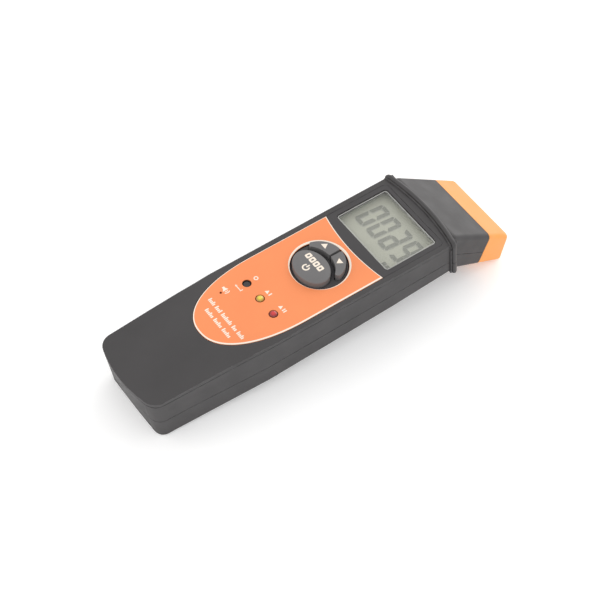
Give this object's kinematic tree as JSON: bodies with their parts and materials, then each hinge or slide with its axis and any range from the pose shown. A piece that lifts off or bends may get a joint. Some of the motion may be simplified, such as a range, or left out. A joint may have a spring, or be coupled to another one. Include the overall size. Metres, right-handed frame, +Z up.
{
  "type": "handheld gas alarm meter",
  "caption": "Handheld battery meter with a display, round keypad, alarm lamps, raised collar and a bent sensor head with a slip-on cap.",
  "frame": {"origin": "centre of the underside of the box round the meter as it lies on its back, on the surface it lies on", "axes": "+Y from the tail to the sensor head, +X to the right of the face, +Z up out of the face; the face is tilted about 3.4 degrees down towards the tail"},
  "size_m": [0.054, 0.2072, 0.0395],
  "materials": {
    "case_plastic": "fine moulded texture",
    "orange_plastic": "satin moulded",
    "label_film": "satin printed film",
    "panel_film": "satin film",
    "window_clear": "clear moulded acrylic",
    "display_glass": "liquid crystal display behind the window",
    "key_rubber": "matt silicone",
    "dark_rubber": "matt silicone",
    "black_plastic": "plain",
    "circuit_board": "solder mask",
    "zinc_steel": "zinc plated",
    "aluminium_can": "bright",
    "pad_foam": "foam",
    "white_plastic": "plain",
    "red_insulation": "plain",
    "battery_wrap": "steel can with a printed wrap",
    "filter_membrane": "felt",
    "yellow_lens": "tinted lens",
    "red_lens": "tinted lens"
  },
  "bodies": {
    "case": {"battery_9v": "battery_wrap", "battery_lead_black": "black_plastic", "battery_lead_red": "red_insulation", "battery_snap": "black_plastic", "board_capacitor": "aluminium_can", "board_screw_left": "zinc_steel", "board_screw_right": "zinc_steel", "buzzer": "black_plastic", "case_screw_left_head": "zinc_steel", "case_screw_left_tail": "zinc_steel", "case_screw_right_head": "zinc_steel", "case_screw_right_tail": "zinc_steel", "clock_crystal": "aluminium_can", "controller_chip": "black_plastic", "display_frame": "black_plastic", "display_panel": "display_glass", "display_surround": "panel_film", "display_window": "window_clear", "battery_pad": "pad_foam", "elastomer_strip_head": "dark_rubber", "elastomer_strip_tail": "dark_rubber", "face_label": "label_film", "filter_disc": "filter_membrane", "front_shell": "case_plastic", "key_base": "dark_rubber", "main_board": "circuit_board", "rear_shell": "case_plastic", "red_lamp": "red_lens", "sensor_board": "circuit_board", "sensor_cable": "dark_rubber", "sensor_carrier": "black_plastic", "sensor_cell": "white_plastic", "sensor_gasket": "dark_rubber", "sensor_header": "white_plastic", "yellow_lamp": "yellow_lens"},
    "mode_key": {"mode_key": "key_rubber"},
    "up_key": {"up_key": "key_rubber"},
    "down_key": {"down_key": "key_rubber"},
    "off_button": {"off_button": "dark_rubber"},
    "battery_door": {"battery_door": "case_plastic"},
    "sensor_cap": {"sensor_cap": "orange_plastic"}
  },
  "joints": [
    {"name": "mode_key_press", "type": "slide", "parent": "case", "child": "mode_key", "axis": [0, 0.0592, -0.9982], "range_m": [0, 0.0008], "stiffness_N_per_m": 1800},
    {"name": "up_key_press", "type": "slide", "parent": "case", "child": "up_key", "axis": [0, 0.0592, -0.9982], "range_m": [0, 0.0008], "stiffness_N_per_m": 1800},
    {"name": "down_key_press", "type": "slide", "parent": "case", "child": "down_key", "axis": [0, 0.0592, -0.9982], "range_m": [0, 0.0008], "stiffness_N_per_m": 1800},
    {"name": "off_button_press", "type": "slide", "parent": "case", "child": "off_button", "axis": [0, 0.0592, -0.9982], "range_m": [0, 0.0008], "stiffness_N_per_m": 1500},
    {"name": "battery_door_slide", "type": "slide", "parent": "case", "child": "battery_door", "axis": [0, -0.9943, -0.1067], "range_m": [0, 0.058]},
    {"name": "sensor_cap_slide", "type": "slide", "parent": "case", "child": "sensor_cap", "axis": [0, 0.8862, -0.4634], "range_m": [0, 0.014]}
  ]
}
